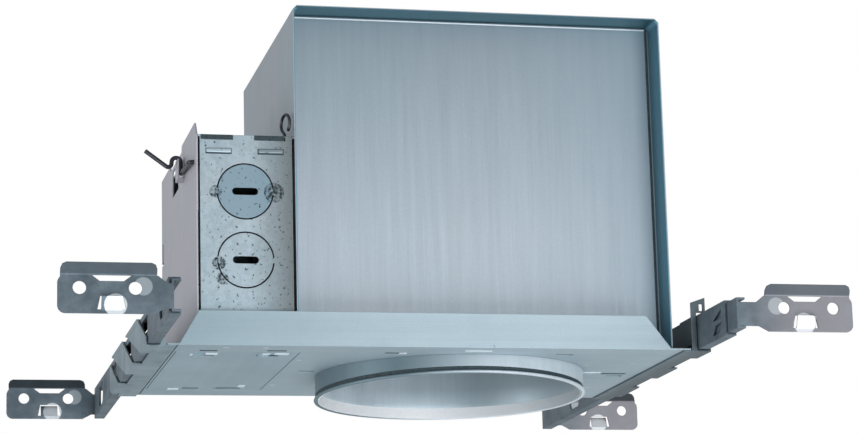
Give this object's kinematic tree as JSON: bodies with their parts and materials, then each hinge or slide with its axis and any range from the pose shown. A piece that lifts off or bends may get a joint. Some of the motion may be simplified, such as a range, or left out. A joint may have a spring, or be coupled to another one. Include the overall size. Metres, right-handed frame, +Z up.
{
  "type": "recessed light housing",
  "caption": "Sheet-steel box for a recessed downlight on a mounting pan with a round aperture collar, a side wiring box with knockouts, and telescoping bar hangers for joists.",
  "frame": {"origin": "on the axis of the aperture collar, in the plane of the mounting pan's underside", "axes": "+Z up into the ceiling space, +X along the pan away from the wiring box, -Y to the side with the knockouts; the bar hangers run along Y"},
  "size_m": [0.3853, 0.3898, 0.186],
  "materials": {
    "pan_steel": "galvanised, brushed along X",
    "collar_steel": "galvanised",
    "ring_steel": "galvanised",
    "box_steel": "galvanised",
    "panel_steel": "galvanised, brushed upright",
    "wiring_steel": "galvanised with spangle",
    "cover_steel": "galvanised",
    "spring_wire": "dark drawn wire",
    "guide_steel": "galvanised",
    "bar_steel": "galvanised",
    "strap_steel": "galvanised",
    "porcelain": "glazed",
    "shell_brass": "satin",
    "plated_screw": "zinc plated",
    "protector_case": "moulded",
    "bushing_nylon": "moulded",
    "rivet_steel": "bright",
    "green_screw": "dyed plating"
  },
  "bodies": {
    "housing": {"mounting_pan": "pan_steel", "access_plate": "pan_steel", "aperture_collar": "collar_steel", "trim_ring": "ring_steel", "box_wrapper": "box_steel", "front_panel": "panel_steel", "rear_panel": "panel_steel", "wiring_box": "wiring_steel", "side_cover": "cover_steel", "wire_loop": "spring_wire", "left_bar_guide": "guide_steel", "right_bar_guide": "guide_steel", "socket_strap": "strap_steel", "thermal_protector": "protector_case", "protector_clip": "strap_steel", "wire_bushing": "bushing_nylon", "box_rivets": "rivet_steel", "collar_rivets": "rivet_steel", "wiring_rivets": "rivet_steel", "ground_screw": "green_screw"},
    "left_outer": {"left_outer_bar": "bar_steel"},
    "left_inner": {"left_inner_bar": "bar_steel"},
    "right_outer": {"right_outer_bar": "bar_steel"},
    "right_inner": {"right_inner_bar": "bar_steel"},
    "latch": {"latch_wire": "spring_wire"},
    "lamp_carriage": {"socket_plate": "strap_steel", "lampholder": "porcelain", "screw_shell": "shell_brass", "centre_contact": "shell_brass", "wing_nut": "plated_screw", "clamp_screw": "plated_screw"}
  },
  "joints": [
    {"name": "left_outer_slide", "type": "slide", "parent": "housing", "child": "left_outer", "axis": [0, 1, 0], "range_m": [-0.09, 0.075]},
    {"name": "left_inner_slide", "type": "slide", "parent": "left_outer", "child": "left_inner", "axis": [0, -1, 0], "range_m": [0, 0.22]},
    {"name": "right_outer_slide", "type": "slide", "parent": "housing", "child": "right_outer", "axis": [0, 1, 0], "range_m": [-0.12, 0.05]},
    {"name": "right_inner_slide", "type": "slide", "parent": "right_outer", "child": "right_inner", "axis": [0, -1, 0], "range_m": [-0.011, 0.22]},
    {"name": "latch_hinge", "type": "hinge", "parent": "housing", "child": "latch", "pos_m": [-0.1432, -0.078, 0.0925], "axis": [1, 0, 0], "range_deg": [0, 100]},
    {"name": "lamp_height_slide", "type": "slide", "parent": "housing", "child": "lamp_carriage", "axis": [0, 0, 1], "range_m": [-0.02, 0.025]}
  ]
}
